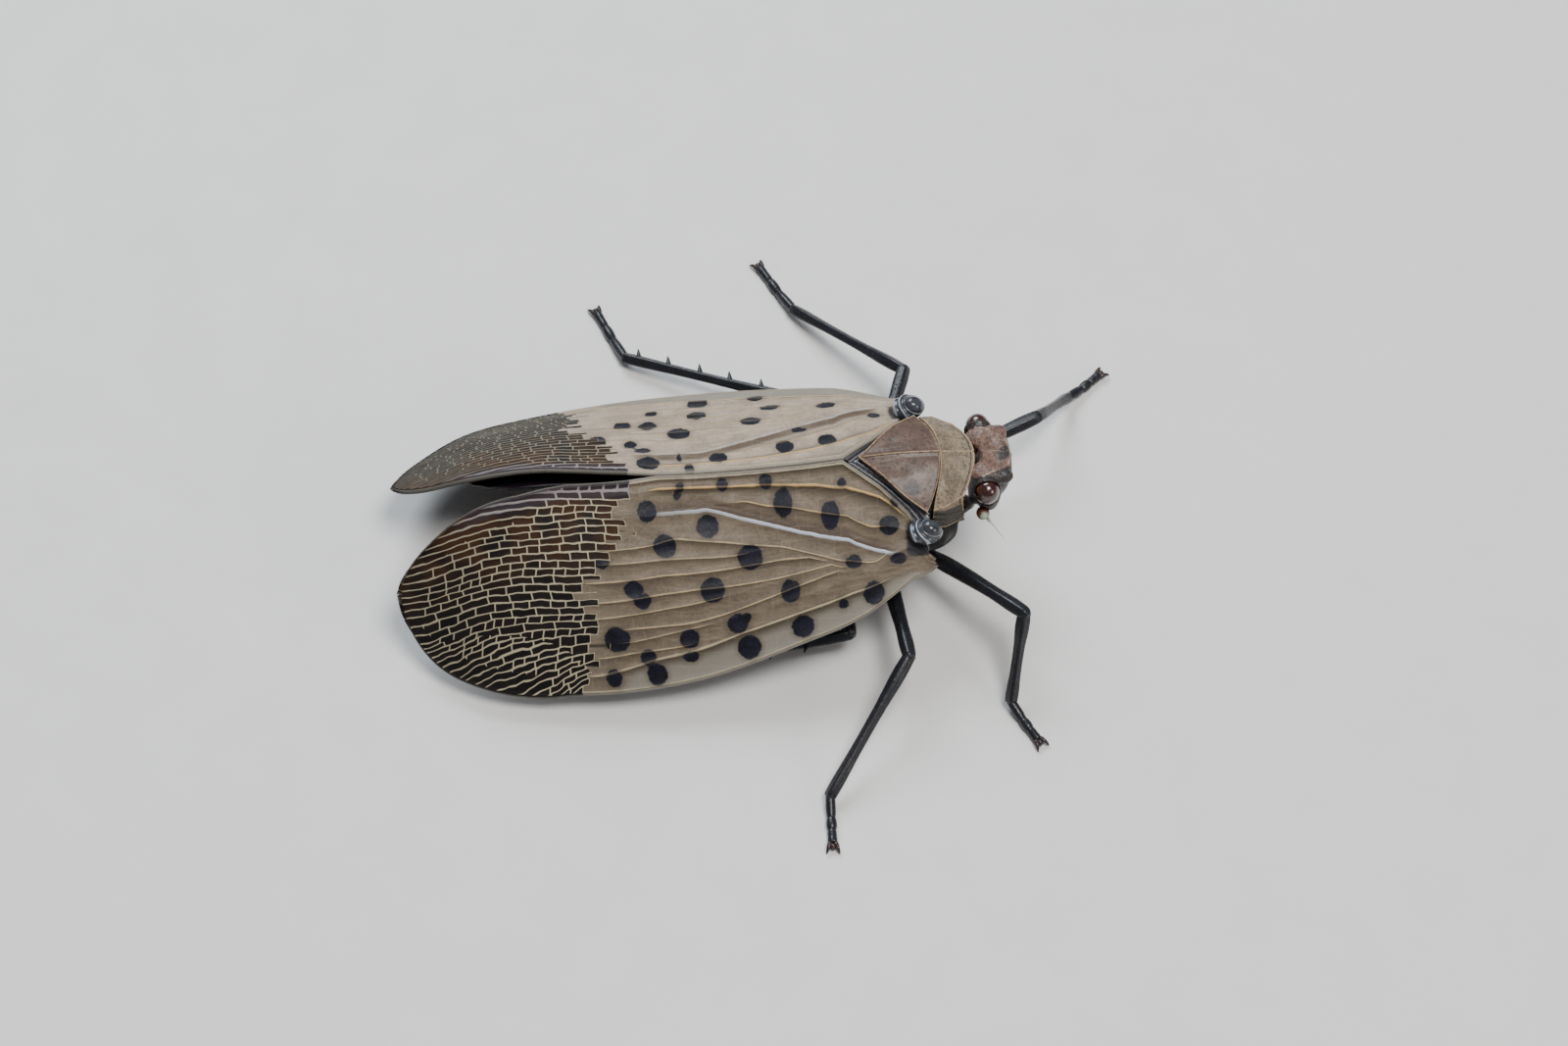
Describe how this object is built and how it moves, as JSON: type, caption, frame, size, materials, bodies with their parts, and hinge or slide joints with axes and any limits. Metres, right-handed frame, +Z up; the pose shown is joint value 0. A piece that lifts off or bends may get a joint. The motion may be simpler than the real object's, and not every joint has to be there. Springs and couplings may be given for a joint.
{
  "type": "spotted lanternfly insect",
  "caption": "Adult spotted lanternfly at rest with its spotted wings folded roof-like over the body, standing on its feet, a still life-size display model.",
  "frame": {"origin": "middle of the outline on the floor, level with the soles of the six feet", "axes": "+X forwards along the body to the head, +Y to the insect's left, +Z up"},
  "size_m": [0.0311, 0.0295, 0.007],
  "materials": {
    "forewing": "grey-tan wing with raised veins",
    "hindwing": "folded red hindwing",
    "mesonotum": "satin reddish brown",
    "pronotum": "mottled grey-tan",
    "head": "rough purplish brown",
    "eye": "glossy red-brown",
    "antenna": "orange",
    "leg": "glossy black",
    "thorax": "dark brown",
    "abdomen": "yellow with dark bands",
    "tegula": "glossy blue-black"
  },
  "bodies": {
    "root": {"head": "head", "eye_left": "eye", "eye_right": "eye", "antenna_left": "antenna", "antenna_right": "antenna", "rostrum": "leg", "pronotum": "pronotum", "mesonotum": "mesonotum", "thorax": "thorax", "abdomen": "abdomen", "tegula_left": "tegula", "tegula_right": "tegula", "forewing_left": "forewing", "forewing_right": "forewing", "hindwing_left": "hindwing", "hindwing_right": "hindwing", "femur_fore_left": "leg", "femur_fore_right": "leg", "femur_mid_left": "leg", "femur_mid_right": "leg", "femur_hind_left": "leg", "femur_hind_right": "leg", "tibia_fore_left": "leg", "tibia_fore_right": "leg", "tibia_mid_left": "leg", "tibia_mid_right": "leg", "tibia_hind_left": "leg", "tibia_hind_right": "leg", "tarsus_fore_left": "leg", "tarsus_fore_right": "leg", "tarsus_mid_left": "leg", "tarsus_mid_right": "leg", "tarsus_hind_left": "leg", "tarsus_hind_right": "leg"}
  },
  "joints": []
}
